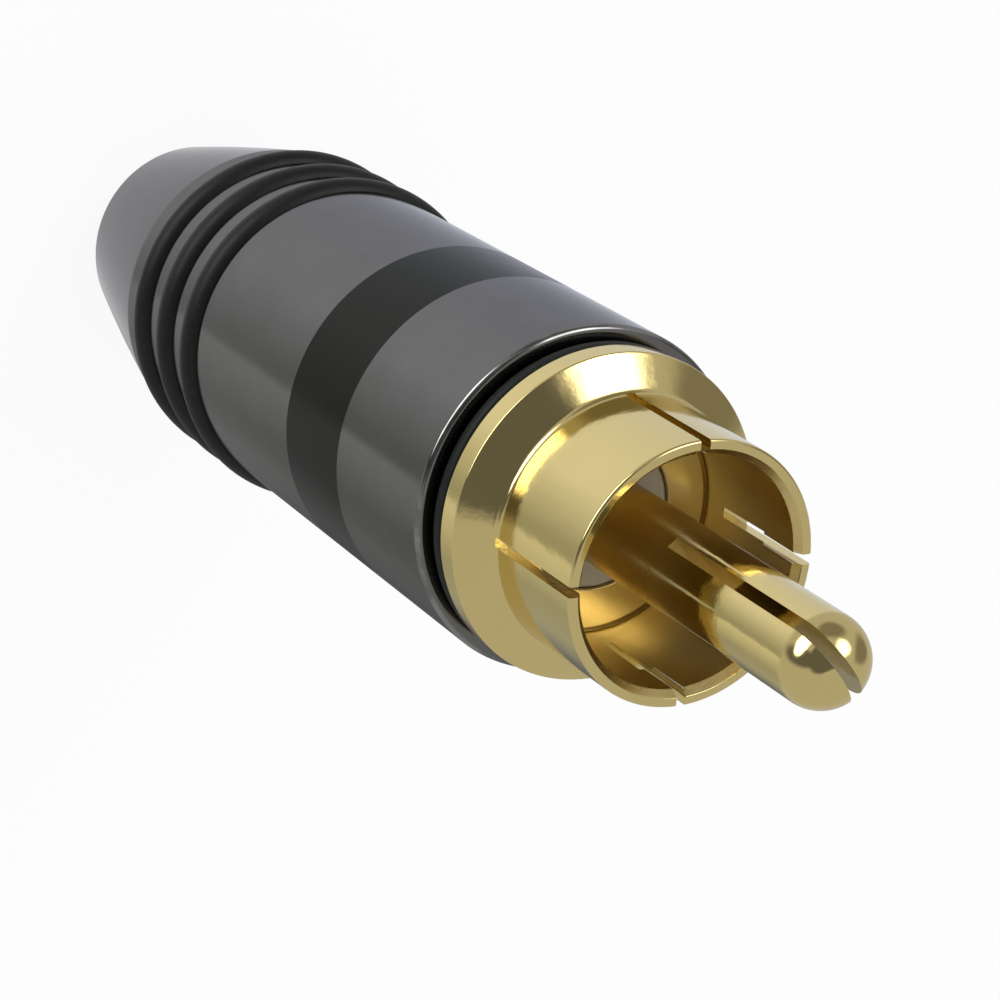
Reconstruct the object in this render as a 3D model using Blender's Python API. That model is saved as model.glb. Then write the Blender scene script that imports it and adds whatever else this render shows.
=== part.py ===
"""A mini RCA plug: a gold ground contact with a slit centre pin, screwed into a black nickel barrel.

Units are metres and +Z runs along the plug, from the cable end to the tip of the pin. The origin is
the centre of the tail face, on which the plug stands. The barrel, its three rubber rings and the
insulating liner stay put; the core (contact, pin, insulators and solder tag) unscrews from the front.
"""

import math

import bmesh
import bpy

MM = 0.001

# Centre pin.
PIN_DIAMETER = 3.2 * MM
PIN_PROJECTION = 8.9 * MM          # beyond the rim; the slit is as deep
PIN_SLIT_WIDTH = 0.45 * MM
PIN_SLIT_ANGLE = math.radians(-9)
PIN_FLANGE_RADIUS = 2.4 * MM
PIN_FLANGE_THICKNESS = 0.6 * MM
PIN_NECK_DIAMETER = 2.0 * MM
CUP_DIAMETER = 2.6 * MM
CUP_LENGTH = 4.2 * MM
CUP_WALL = 0.4 * MM
CUP_DEPTH = 3.0 * MM
CUP_SCOOP_LENGTH = 2.1 * MM

# Ground contact: a sleeve sawn into four fingers.
MOUTH_DIAMETER = 8.36 * MM
CONTACT_LAND = 2.1 * MM            # the narrow stretch that grips the socket
BORE_RELIEF = 0.15 * MM            # radial step behind that stretch
SLEEVE_WALL = 0.42 * MM
SLEEVE_LENGTH = 4.8 * MM
SLEEVE_PINCH = 0.04 * MM           # the fingers are sprung inward by this much at the rim
SAW_SLOTS = 4
SAW_SLOT_WIDTH = 0.36 * MM
SAW_SLOT_ANGLE = math.radians(45)
LEAD_IN_DEPTH = 0.3 * MM
LEAD_IN_WIDTH = 0.24 * MM
RIM_ROUND = 0.12 * MM
CAVITY_DEPTH = 6.0 * MM
CAVITY_FILLET = 0.14 * MM

# Collar and threaded stub behind it.
COLLAR_DIAMETER = 12.0 * MM
COLLAR_LENGTH = 0.9 * MM
CONE_LENGTH = 0.8 * MM
COLLAR_EDGE = 0.07 * MM
THREAD_DIAMETER = 9.6 * MM         # crests of the male thread, cut as a plain cylinder here
THREAD_DEPTH = 0.4 * MM
THREAD_CLEARANCE = 0.3 * MM        # between the two threads' plain cylinders
NECK_LENGTH = 1.2 * MM
STUB_CHAMFER = 0.3 * MM
STUB_BORE = 7.6 * MM
FLOOR_WEB = 2.8 * MM               # from the floor of the mouth to the insulator's shoulder
LIP_THICKNESS = 0.5 * MM           # rolled over the stack at the rear

# Insulators.
NOSE_HOLE = 5.52 * MM              # hole in the floor of the mouth
FRONT_FLANGE_THICKNESS = 1.4 * MM
REAR_INSULATOR_THICKNESS = 1.2 * MM
NOSE_RECESS = 0.1 * MM
NOSE_CHAMFER = 0.15 * MM

# Ground solder tag, of folded sheet.
TAG_SHEET = 0.5 * MM
TAG_WIDTH = 2.4 * MM
TAG_HOLE = 4.4 * MM
TAG_REACH = 10.9 * MM              # from its ring to its rear end
TAG_SOLDER_HOLE = 1.2 * MM
TAG_SOLDER_PLACE = 4.0 * MM        # from its ring
CABLE_DIAMETER = 4.6 * MM          # jacket that the clamp closes on
CLAMP_LENGTH = 4.4 * MM
CLAMP_EAR = 2.1 * MM               # height of the open ears above the axis
CLAMP_GROOVE_WIDTH = 0.45 * MM
CLAMP_GROOVE_DEPTH = 0.14 * MM
CLAMP_GROOVES = 3

# Barrel.
BARREL_DIAMETER = 12.8 * MM
BARREL_LENGTH = 19.2 * MM          # plain stretch in front of the rings
BARREL_LIP = 0.2 * MM
FEMALE_THREAD_LENGTH = 6.5 * MM
THREAD_RUNOUT = 0.8 * MM
RUNOUT_DEPTH = 0.2 * MM
LINER_COVER = 1.4 * MM             # wall round the liner
REAR_WALL = 1.12 * MM              # between the floor of a ring's groove and the bore
LINER_SEAT = 17.6 * MM             # height of the step that the liner stands on
BORE_TAPER = 0.6 * MM
TAIL_LENGTH = 8.7 * MM             # the tapered stretch
TAIL_DIAMETER = 9.0 * MM
TAIL_BULGE = 0.05 * MM             # how far the tapered side bows out beyond a straight cone
TAIL_ROUND = 0.35 * MM
REAR_LAND = 1.0 * MM               # plain stretch between the taper and the first ring
CABLE_HOLE = 6.2 * MM
CABLE_HOLE_LENGTH = 4.8 * MM
CABLE_HOLE_FLARE = 0.35 * MM

# Rubber rings in the barrel's grooves.
RING_NAMES = ("rear_ring", "middle_ring", "front_ring")
RING_SECTION = 1.3 * MM
RING_PROUD = 0.35 * MM
RING_PITCH = 2.4 * MM
RING_FIT = 0.1 * MM

# Gasket under the collar, and the liner.
GASKET_THICKNESS = 0.6 * MM
GASKET_RECESS = 0.05 * MM          # under the collar's edge
GASKET_BORE_GAP = 0.2 * MM
LINER_WALL = 0.3 * MM

# Gap.
SEAT_GAP = 0.15 * MM               # between pieces that bear on each other

# Facets round the axis, and along the outlines that are turned about it.
LARGE_STEPS = 48
SMALL_STEPS = 32
SECTION_STEPS = 12
TAIL_STEPS = 8
ROUND_STEPS = 3

# Radii worked out from the sizes above.
pin_radius = PIN_DIAMETER / 2
mouth_radius = MOUTH_DIAMETER / 2
relief_radius = mouth_radius + BORE_RELIEF
sleeve_radius = relief_radius + SLEEVE_WALL
collar_radius = COLLAR_DIAMETER / 2
thread_radius = THREAD_DIAMETER / 2
neck_radius = thread_radius - THREAD_DEPTH
stub_bore_radius = STUB_BORE / 2
stack_radius = stub_bore_radius - SEAT_GAP
nose_hole_radius = NOSE_HOLE / 2
clamp_radius = CABLE_DIAMETER / 2
tag_corner = math.hypot(clamp_radius + TAG_SHEET, TAG_WIDTH / 2)
lip_radius = tag_corner + SEAT_GAP
barrel_radius = BARREL_DIAMETER / 2
ring_radius = barrel_radius + RING_PROUD - RING_SECTION / 2
groove_floor = ring_radius - RING_SECTION / 2 - RING_FIT
rear_bore = groove_floor - REAR_WALL
barrel_bore = thread_radius + THREAD_CLEARANCE
liner_bore = barrel_radius - LINER_COVER
liner_radius = liner_bore - SEAT_GAP

# Heights, from the tail face to the tip of the pin.
rings_bottom = TAIL_LENGTH + REAR_LAND
rings_top = rings_bottom + (len(RING_NAMES) - 1) * RING_PITCH + RING_SECTION
barrel_top = rings_top + BARREL_LENGTH
thread_bottom = barrel_top - FEMALE_THREAD_LENGTH
runout_bottom = thread_bottom - THREAD_RUNOUT
gasket_bottom = barrel_top + SEAT_GAP
gasket_top = gasket_bottom + GASKET_THICKNESS
collar_bottom = gasket_top + SEAT_GAP
collar_top = collar_bottom + COLLAR_LENGTH
cone_top = collar_top + CONE_LENGTH
rim = cone_top + SLEEVE_LENGTH
pin_tip = rim + PIN_PROJECTION
floor = rim - CAVITY_DEPTH
shoulder = floor - FLOOR_WEB

# The stack behind that shoulder, front to rear.
front_flange_top = shoulder - SEAT_GAP
front_flange_bottom = front_flange_top - FRONT_FLANGE_THICKNESS
pin_flange_top = front_flange_bottom - SEAT_GAP
pin_flange_bottom = pin_flange_top - PIN_FLANGE_THICKNESS
rear_insulator_top = pin_flange_bottom - SEAT_GAP
rear_insulator_bottom = rear_insulator_top - REAR_INSULATOR_THICKNESS
tag_top = rear_insulator_bottom - SEAT_GAP
tag_bottom = tag_top - TAG_SHEET
lip_top = tag_bottom - SEAT_GAP
stub_bottom = lip_top - LIP_THICKNESS
neck_bottom = collar_bottom - NECK_LENGTH
tag_end = tag_bottom - TAG_REACH
cup_bottom = rear_insulator_bottom - TAG_SHEET - CUP_LENGTH


def arc(centre_r, centre_z, radius, start, end, steps=ROUND_STEPS):
    """Points (radius, height) of an arc between two angles in degrees, 0 outward and 90 up."""
    angles = [math.radians(start + (end - start) * i / steps) for i in range(steps + 1)]
    return [(centre_r + radius * math.cos(a), centre_z + radius * math.sin(a)) for a in angles]


def material(name, colour, roughness, metallic):
    """A Principled material."""
    made = bpy.data.materials.new(name)
    made.use_nodes = True
    shader = made.node_tree.nodes["Principled BSDF"]
    shader.inputs["Base Color"].default_value = (*colour, 1)
    shader.inputs["Roughness"].default_value = roughness
    shader.inputs["Metallic"].default_value = metallic
    made.diffuse_color = (*colour, 1)
    return made


def add_object(name, bm, finish, parent, origin=0.0):
    """Turn a bmesh into a named object whose origin lies on the axis at the given height."""
    bmesh.ops.remove_doubles(bm, verts=bm.verts, dist=1e-7)
    bmesh.ops.recalc_face_normals(bm, faces=bm.faces)
    bmesh.ops.translate(bm, verts=bm.verts, vec=(0, 0, -origin))
    mesh = bpy.data.meshes.new(name)
    bm.to_mesh(mesh)
    bm.free()
    mesh.shade_smooth()
    mesh.set_sharp_from_angle(angle=math.radians(35))
    if finish:
        mesh.materials.append(finish)
    made = bpy.data.objects.new(name, mesh)
    bpy.context.scene.collection.objects.link(made)
    made.location.z = origin - (parent.location.z if parent else 0.0)
    made.parent = parent
    return made


def turned(name, outline, finish, parent, origin=0.0, steps=LARGE_STEPS):
    """Turn an outline of (radius, height) points about the axis; it closes unless it ends on the axis."""
    bm = bmesh.new()
    verts = [bm.verts.new((r, 0, z)) for r, z in outline]
    on_axis = outline[0][0] == 0 and outline[-1][0] == 0
    followers = verts[1:] if on_axis else verts[1:] + verts[:1]
    edges = [bm.edges.new(pair) for pair in zip(verts, followers)]
    bmesh.ops.spin(bm, geom=verts + edges, cent=(0, 0, 0), axis=(0, 0, 1), angle=math.tau, steps=steps,
                   use_merge=True)
    return add_object(name, bm, finish, parent, origin)


def block(name, low, high, turn=0.0):
    """A plain box between two corners, turned about the axis by an angle."""
    bm = bmesh.new()
    bmesh.ops.create_cube(bm, size=1.0)
    for vert in bm.verts:
        vert.co = [a + (b - a) * (c + 0.5) for a, b, c in zip(low, high, vert.co)]
    made = add_object(name, bm, None, None)
    made.rotation_euler.z = turn
    return made


def extruded(name, outline, bottom, top):
    """A prism over a closed outline of (x, y) points, between two heights."""
    bm = bmesh.new()
    base = bm.faces.new([bm.verts.new((x, y, bottom)) for x, y in outline])
    raised = bmesh.ops.extrude_face_region(bm, geom=[base])["geom"]
    bmesh.ops.translate(bm, verts=[v for v in raised if isinstance(v, bmesh.types.BMVert)],
                        vec=(0, 0, top - bottom))
    return add_object(name, bm, None, None)


def combine(target, tool, operation="DIFFERENCE"):
    """Cut a tool from an object or join it on, and hide the tool."""
    modifier = target.modifiers.new(tool.name, "BOOLEAN")
    modifier.operation = operation
    modifier.solver = "EXACT"
    modifier.object = tool
    tool.hide_render = True
    tool.display_type = "WIRE"


def barrel_outline():
    """The barrel: a tapered tail, three ring grooves, a plain body and a stepped bore."""
    tail_radius = TAIL_DIAMETER / 2
    drop = barrel_radius - tail_radius
    hole = CABLE_HOLE / 2

    points = [(hole + CABLE_HOLE_FLARE, 0)]
    # The tail's edge is rounded where the tapered side meets the flat end.
    slope = math.atan((drop + 4 * TAIL_BULGE) / TAIL_LENGTH)
    centre = tail_radius + TAIL_ROUND * (math.tan(slope) - 1 / math.cos(slope))
    points += arc(centre, TAIL_ROUND, TAIL_ROUND, -90, -math.degrees(slope), 4)
    for i in range(1, TAIL_STEPS + 1):
        share = i / TAIL_STEPS
        points.append((tail_radius + drop * share + 4 * TAIL_BULGE * share * (1 - share), TAIL_LENGTH * share))
    for i in range(len(RING_NAMES)):
        bottom = rings_bottom + i * RING_PITCH - RING_FIT
        top = bottom + RING_SECTION + 2 * RING_FIT
        points += [(barrel_radius, bottom), (groove_floor, bottom), (groove_floor, top), (barrel_radius, top)]
    points += arc(barrel_radius - BARREL_LIP, barrel_top - BARREL_LIP, BARREL_LIP, 0, 90)
    # Bore, front to rear.
    runout_radius = barrel_bore + RUNOUT_DEPTH
    taper_bottom = LINER_SEAT - BORE_TAPER
    taper_to_hole = CABLE_HOLE_LENGTH + (rear_bore - hole)
    points += [(barrel_bore, barrel_top), (barrel_bore, thread_bottom), (runout_radius, thread_bottom),
               (runout_radius, runout_bottom + RUNOUT_DEPTH), (liner_bore, runout_bottom),
               (liner_bore, LINER_SEAT), (rear_bore + BORE_TAPER / 2, LINER_SEAT),
               (rear_bore, taper_bottom), (rear_bore, taper_to_hole), (hole, CABLE_HOLE_LENGTH),
               (hole, CABLE_HOLE_FLARE)]
    return points


def ring_outline(index):
    """The round section of one rubber ring."""
    centre_z = rings_bottom + index * RING_PITCH + RING_SECTION / 2
    return arc(ring_radius, centre_z, RING_SECTION / 2, 0, 360, SECTION_STEPS)[:-1]


def gasket_outline():
    """The flat ring that is squeezed between barrel and collar."""
    inner = thread_radius + GASKET_BORE_GAP
    outer = collar_radius - GASKET_RECESS
    edge = GASKET_THICKNESS / 4
    return [(inner, gasket_bottom), (outer - edge, gasket_bottom), (outer, gasket_bottom + edge),
            (outer, gasket_top - edge), (outer - edge, gasket_top), (inner, gasket_top)]


def liner_outline():
    """The insulating tube that keeps the solder joints off the barrel."""
    bottom = LINER_SEAT + SEAT_GAP
    top = runout_bottom - SEAT_GAP
    return [(liner_radius - LINER_WALL, bottom), (liner_radius, bottom), (liner_radius, top),
            (liner_radius - LINER_WALL, top)]


def ground_outline():
    """The ground contact: threaded stub, collar with its cone, and the sleeve round the mouth."""
    rim_radius = sleeve_radius - SLEEVE_PINCH
    land_top = rim - LEAD_IN_DEPTH
    land_bottom = rim - CONTACT_LAND
    points = [(lip_radius, stub_bottom), (thread_radius - STUB_CHAMFER, stub_bottom),
              (thread_radius, stub_bottom + STUB_CHAMFER), (thread_radius, neck_bottom - THREAD_DEPTH),
              (neck_radius, neck_bottom), (neck_radius, collar_bottom)]
    points += arc(collar_radius - COLLAR_EDGE, collar_bottom + COLLAR_EDGE, COLLAR_EDGE, -90, 0, 2)
    points += arc(collar_radius - COLLAR_EDGE, collar_top - COLLAR_EDGE, COLLAR_EDGE, 0, 60, 2)
    points.append((sleeve_radius, cone_top))
    points += arc(rim_radius - RIM_ROUND, rim - RIM_ROUND, RIM_ROUND, 0, 90)
    points += [(mouth_radius + LEAD_IN_WIDTH - SLEEVE_PINCH, rim), (mouth_radius - SLEEVE_PINCH, land_top),
               (mouth_radius, land_bottom), (relief_radius, land_bottom - BORE_RELIEF)]
    points += arc(relief_radius - CAVITY_FILLET, floor + CAVITY_FILLET, CAVITY_FILLET, 0, -90, 2)
    points += [(nose_hole_radius, floor), (nose_hole_radius, shoulder), (stub_bore_radius, shoulder),
               (stub_bore_radius, lip_top), (lip_radius, lip_top)]
    return points


def saw_fingers(ground):
    """Saw the sleeve into fingers, from the rim down to the foot of the cone."""
    for i in range(SAW_SLOTS):
        saw = block(f"saw_{i + 1}", (mouth_radius / 2, -SAW_SLOT_WIDTH / 2, cone_top),
                    (collar_radius, SAW_SLOT_WIDTH / 2, rim + SLEEVE_WALL),
                    SAW_SLOT_ANGLE + i * math.tau / SAW_SLOTS)
        combine(ground, saw)


def front_insulator_outline():
    """The moulded bush whose nose shows in the floor of the mouth."""
    bore = pin_radius + SEAT_GAP
    nose = nose_hole_radius - SEAT_GAP
    nose_top = floor - NOSE_RECESS
    return [(bore, front_flange_bottom), (stack_radius, front_flange_bottom), (stack_radius, front_flange_top),
            (nose, front_flange_top), (nose, nose_top - NOSE_CHAMFER), (nose - NOSE_CHAMFER, nose_top),
            (bore, nose_top)]


def rear_insulator_outline():
    """The washer between the pin's flange and the solder tag."""
    bore = PIN_NECK_DIAMETER / 2 + SEAT_GAP
    return [(bore, rear_insulator_bottom), (stack_radius, rear_insulator_bottom),
            (stack_radius, rear_insulator_top), (bore, rear_insulator_top)]


def pin_outline():
    """The turned pin: round nose, flange, neck and solder cup."""
    neck = PIN_NECK_DIAMETER / 2
    cup = CUP_DIAMETER / 2
    cup_bore = cup - CUP_WALL
    cup_top = cup_bottom + CUP_LENGTH
    points = [(0, cup_bottom + CUP_DEPTH + cup_bore / 2), (cup_bore, cup_bottom + CUP_DEPTH),
              (cup_bore, cup_bottom), (cup, cup_bottom), (cup, cup_top - (cup - neck)), (neck, cup_top),
              (neck, pin_flange_bottom), (PIN_FLANGE_RADIUS, pin_flange_bottom),
              (PIN_FLANGE_RADIUS, pin_flange_top), (pin_radius, pin_flange_top)]
    points += arc(0, pin_tip - pin_radius, pin_radius, 0, 90, 8)
    return points


def slit_pin(pin):
    """Saw the pin's nose into two springs and open one side of its solder cup."""
    reach = pin_radius * 2
    saw = block("pin_saw", (-reach, -PIN_SLIT_WIDTH / 2, rim), (reach, PIN_SLIT_WIDTH / 2, pin_tip + reach),
                PIN_SLIT_ANGLE)
    combine(pin, saw)
    scoop = block("cup_scoop", (-CUP_DIAMETER, CUP_WALL / 2, cup_bottom - CUP_WALL),
                  (CUP_DIAMETER, CUP_DIAMETER, cup_bottom + CUP_SCOOP_LENGTH))
    combine(pin, scoop)


def clamp_channel(reach, top):
    """The clamp's U, seen along the axis, at a distance from its inner face, from left ear to right ear."""
    corner = clamp_radius - TAG_WIDTH / 2
    side = arc(TAG_WIDTH / 2, -TAG_WIDTH / 2, corner + reach, -90, 0, 5) + [(clamp_radius + reach, top)]
    return [(-x, y) for x, y in reversed(side)] + side


def ground_tag(finish, parent):
    """The solder tag: a ring gripped by the rolled lip, a strip with a solder hole, and the cable clamp."""
    ring = [(TAG_HOLE / 2, tag_bottom), (stack_radius, tag_bottom), (stack_radius, tag_top),
            (TAG_HOLE / 2, tag_top)]
    tag = turned("ground_tag", ring, finish, parent, collar_bottom, SMALL_STEPS)
    strip_outer = -(clamp_radius + TAG_SHEET)
    strip = block("tag_strip", (-TAG_WIDTH / 2, strip_outer, tag_end + CLAMP_LENGTH / 2),
                  (TAG_WIDTH / 2, -clamp_radius, (tag_bottom + tag_top) / 2))
    combine(tag, strip, "UNION")

    # The ears' tips are cut at a slant, thinner outside, so that they curl in when they are pressed shut.
    ears = clamp_channel(0, CLAMP_EAR) + clamp_channel(TAG_SHEET, CLAMP_EAR - TAG_SHEET / 2)[::-1]
    combine(tag, extruded("tag_clamp", ears, tag_end, tag_end + CLAMP_LENGTH), "UNION")

    hole = turned("tag_hole", [(0, -TAG_SHEET), (TAG_SOLDER_HOLE / 2, -TAG_SHEET),
                               (TAG_SOLDER_HOLE / 2, TAG_SHEET), (0, TAG_SHEET)], None, None, 0, 16)
    hole.rotation_euler.x = math.radians(90)
    hole.location = (0, -(clamp_radius + TAG_SHEET / 2), tag_bottom - TAG_SOLDER_PLACE)
    combine(tag, hole)

    # Cross grooves inside the clamp bite into the cable's screen.
    for i in range(CLAMP_GROOVES):
        middle = tag_end + CLAMP_LENGTH * (i + 1) / (CLAMP_GROOVES + 1)
        groove = extruded(f"clamp_groove_{i + 1}", clamp_channel(CLAMP_GROOVE_DEPTH, clamp_radius / 2),
                          middle - CLAMP_GROOVE_WIDTH / 2, middle + CLAMP_GROOVE_WIDTH / 2)
        combine(tag, groove)
    return tag


def empty(name, height):
    """An empty on the axis that carries a group of pieces."""
    made = bpy.data.objects.new(name, None)
    made.location.z = height
    bpy.context.scene.collection.objects.link(made)
    return made


def build():
    for old in list(bpy.data.objects):
        bpy.data.objects.remove(old)

    nickel = material("black_nickel", (0.17, 0.17, 0.175), 0.3, 1.0)
    gold = material("gold_plate", (0.72, 0.58, 0.27), 0.16, 1.0)
    rubber = material("black_rubber", (0.012, 0.013, 0.012), 0.5, 0.0)
    insulation = material("white_nylon", (0.62, 0.61, 0.57), 0.4, 0.0)
    paper = material("liner_film", (0.55, 0.5, 0.4), 0.6, 0.0)

    barrel_group = empty("barrel_group", 0)
    core_group = empty("core_group", collar_bottom)

    turned("barrel", barrel_outline(), nickel, barrel_group)
    for index, name in enumerate(RING_NAMES):
        turned(name, ring_outline(index), rubber, barrel_group, rings_bottom + index * RING_PITCH)
    turned("liner", liner_outline(), paper, barrel_group, LINER_SEAT)

    turned("collar_gasket", gasket_outline(), rubber, core_group, gasket_bottom)
    ground = turned("ground_contact", ground_outline(), gold, core_group, collar_bottom)
    saw_fingers(ground)
    turned("front_insulator", front_insulator_outline(), insulation, core_group, shoulder, SMALL_STEPS)
    pin = turned("centre_pin", pin_outline(), gold, core_group, pin_flange_top, SMALL_STEPS)
    slit_pin(pin)
    turned("rear_insulator", rear_insulator_outline(), insulation, core_group, rear_insulator_top, SMALL_STEPS)
    ground_tag(gold, core_group)


build()
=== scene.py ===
"""The looks of a mini RCA plug: pale gold contacts in a black nickel barrel with rubber grip rings.

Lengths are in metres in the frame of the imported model, +Z along the plug, from its tail to the pin's tip.
"""

import math

import bmesh
import bpy
from mathutils import Euler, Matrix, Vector


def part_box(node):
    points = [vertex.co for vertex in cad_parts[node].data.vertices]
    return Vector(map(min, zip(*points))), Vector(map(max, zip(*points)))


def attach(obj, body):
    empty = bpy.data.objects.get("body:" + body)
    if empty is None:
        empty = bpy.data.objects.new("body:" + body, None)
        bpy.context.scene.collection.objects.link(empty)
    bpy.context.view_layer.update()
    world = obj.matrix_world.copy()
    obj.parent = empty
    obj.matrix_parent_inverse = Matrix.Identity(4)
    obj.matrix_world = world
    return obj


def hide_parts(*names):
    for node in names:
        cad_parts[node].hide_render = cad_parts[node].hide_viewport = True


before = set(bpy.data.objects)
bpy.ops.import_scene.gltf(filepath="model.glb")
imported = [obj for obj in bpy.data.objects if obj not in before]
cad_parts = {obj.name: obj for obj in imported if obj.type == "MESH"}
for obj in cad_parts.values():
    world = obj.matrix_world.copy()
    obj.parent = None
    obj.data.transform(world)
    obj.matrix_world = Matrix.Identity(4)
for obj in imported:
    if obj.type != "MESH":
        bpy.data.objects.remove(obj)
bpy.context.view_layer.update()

MM = 0.001

# Camera, fitted to the photograph's rims.
CAMERA_PLACE = Vector((58.32, 11.02, 113.77)) * MM
CAMERA_TURN = (-22.086, -28.704, -130.598)
CAMERA_LENS = 101.5

# Facets round the axis.
FINE_STEPS = 192
SMALL_STEPS = 96
THREAD_STEPS = 72
RING_SECTION_STEPS = 40
TAIL_STEPS = 24                    # along the taper
NOSE_STEPS = 32                    # from the pin's shank to its tip
CREASE = 40                        # degrees; a sharper edge isn't shaded smooth
MERGE = 1e-7
HOLD = 0.05 * MM                   # strip beside a rounded edge that keeps the flat beside it flat

# Edges that a tool left, and the gap between pieces that bear on each other.
FINE_EDGE = 0.04 * MM
EASED_EDGE = 0.05 * MM
SMALL_CHAMFER = 0.1 * MM
CHAMFER = 0.3 * MM
SEAT_GAP = 0.15 * MM

# Centre pin.
PIN_RADIUS = 1.6 * MM
PIN_SLIT_WIDTH = 0.45 * MM
PIN_SLIT_ANGLE = math.radians(-9)
PIN_FLANGE_THICKNESS = 0.6 * MM
PIN_NECK_RADIUS = 1.0 * MM
CUP_RADIUS = 1.3 * MM
CUP_LENGTH = 4.2 * MM
CUP_WALL = 0.4 * MM
CUP_DEPTH = 3.0 * MM
CUP_SCOOP_LENGTH = 2.1 * MM
CUP_RIM_ROUND = 0.08 * MM

# Ground contact.
MOUTH_RADIUS = 4.18 * MM
CONTACT_LAND = 2.1 * MM
BORE_RELIEF = 0.15 * MM
SLEEVE_WALL = 0.42 * MM
SLEEVE_LENGTH = 4.8 * MM
SLEEVE_PINCH = 0.04 * MM
FINGERS = 4
SAW_WIDTH = 0.36 * MM
SAW_ANGLE = math.radians(45)
SAW_BURR = 0.02 * MM               # how far the cuts' edges are eased
FLANK_SLACK = 0.001 * MM           # allowed when a point is matched to a cut's flank
LEAD_IN_DEPTH = 0.3 * MM
LEAD_IN_WIDTH = 0.24 * MM
LEAD_IN_ROUND = 0.03 * MM
CAVITY_DEPTH = 6.0 * MM
COLLAR_LENGTH = 0.9 * MM
CONE_LENGTH = 0.8 * MM
FOOT_FILLET = 0.35 * MM            # where the cone runs into the sleeve
RIM_ROUND = 0.11 * MM
COLLAR_BACK_ROUND = 0.07 * MM
COLLAR_FRONT_ROUND = 0.08 * MM
FLOOR_FILLET = 0.07 * MM
FLOOR_WEB = 2.8 * MM
NECK_LENGTH = 1.2 * MM
LIP_RADIUS = 3.2 * MM
LIP_THICKNESS = 0.5 * MM
STUB_BORE_RADIUS = 3.8 * MM
NOSE_HOLE_RADIUS = 2.76 * MM

# Threads.
PITCH = 0.75 * MM
CREST_RADIUS = 4.8 * MM
THREAD_DEPTH = 0.32 * MM
FEMALE_DEPTH = 0.2 * MM
FEMALE_THREAD_LENGTH = 6.5 * MM
THREAD_FOOT = 0.84                 # the ridge's width at its foot and at its crest, as shares of the pitch
THREAD_CREST = 0.18
THREAD_SUNK = 0.1                  # share of the ridge's depth that sinks into the cylinder
STUB_START = 0.55                  # pitches between the stub's end and the ridge's start
STUB_SPARE = 0.6                   # pitches that the ridge leaves free, at least
LIP_SPARE = 0.7                    # pitches between the ridge's end and the barrel's lip

# Barrel.
TAIL_RADIUS = 4.5 * MM
TAIL_LENGTH = 8.7 * MM             # the tapered stretch
TAIL_BULGE = 0.05 * MM
TAIL_ROUND = 0.35 * MM
TAPER_BLEND = 1.0 * MM             # rounding where the taper meets the plain stretch
CABLE_HOLE_RADIUS = 3.1 * MM
CABLE_HOLE_LENGTH = 4.8 * MM
CABLE_HOLE_FLARE = 0.35 * MM
REAR_BORE_RADIUS = 4.23 * MM
LINER_BORE_RADIUS = 5.0 * MM
LINER_SEAT = 17.6 * MM
BARREL_BORE_RADIUS = 5.1 * MM
RUNOUT_LENGTH = 0.8 * MM
RUNOUT_DEPTH = 0.2 * MM
RINGS = 3
RING_FIT = 0.1 * MM
BARREL_LIP = 0.22 * MM
BORE_LIP = 0.06 * MM
BAND_BOTTOM = 24.4 * MM
BAND_TOP = 28.7 * MM

# Insulator and gasket.
INSULATOR_FLANGE = 1.4 * MM
INSULATOR_NOSE_RADIUS = 2.75 * MM
INSULATOR_BORE_RADIUS = 1.75 * MM
NOSE_ROUND = 0.14 * MM
NOSE_BORE_ROUND = 0.06 * MM
GASKET_BORE_RADIUS = 5.0 * MM
GASKET_ROUND = 0.24 * MM

# Soft lamp, aimed at the plug.
LAMP_SIZE = (0.14, 0.08)
LAMP_POWER = 0.24
LAMP_HEADING = math.radians(-77)
LAMP_HEIGHT = math.radians(42)
LAMP_DISTANCE = 0.32
LAMP_AIM = Vector((0, 0, 35 * MM))

# Floor.
FLOOR_HALF = 1.5
FLOOR_TONE = 0.86
FLOOR_GLOW = 0.9                   # share of plain white that the camera sees, over the floor's shadows


def span(node):
    """Outer radius, bottom and top of a CAD node."""
    low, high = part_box(node)
    return high.x, low.z, high.z


barrel_radius, tail, barrel_top = span("barrel")
ring_reach, ring_bottom, ring_top = span("rear_ring")
ring_section = ring_top - ring_bottom
ring_radius = ring_reach - ring_section / 2
ring_pitch = span("middle_ring")[1] - ring_bottom
gasket_radius, gasket_bottom, gasket_top = span("collar_gasket")
collar_radius, stub_bottom, rim = span("ground_contact")
insulator_radius, insulator_bottom, insulator_top = span("front_insulator")
pin_flange_radius, cup_bottom, pin_tip = span("centre_pin")

relief_radius = MOUTH_RADIUS + BORE_RELIEF
sleeve_radius = relief_radius + SLEEVE_WALL
cone_top = rim - SLEEVE_LENGTH
collar_top = cone_top - CONE_LENGTH
collar_bottom = collar_top - COLLAR_LENGTH
cavity_floor = rim - CAVITY_DEPTH
shoulder = cavity_floor - FLOOR_WEB
lip_top = stub_bottom + LIP_THICKNESS
neck_bottom = collar_bottom - NECK_LENGTH
root_radius = CREST_RADIUS - THREAD_DEPTH


class Flow:
    """A value that flows between nodes. Python's operators on it add Math nodes."""

    def __init__(self, net, socket):
        self.net = net
        self.socket = socket

    def __add__(self, other):
        return self.net.math("ADD", self, other)

    def __sub__(self, other):
        return self.net.math("SUBTRACT", self, other)

    def __rsub__(self, other):
        return self.net.math("SUBTRACT", other, self)

    def __mul__(self, other):
        return self.net.math("MULTIPLY", self, other)

    def __truediv__(self, other):
        return self.net.math("DIVIDE", self, other)

    def __gt__(self, other):
        return self.net.math("GREATER_THAN", self, other)

    def __lt__(self, other):
        return self.net.math("LESS_THAN", self, other)

    def __neg__(self):
        return self.net.math("MULTIPLY", self, -1.0)

    __radd__ = __add__
    __rmul__ = __mul__


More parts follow.
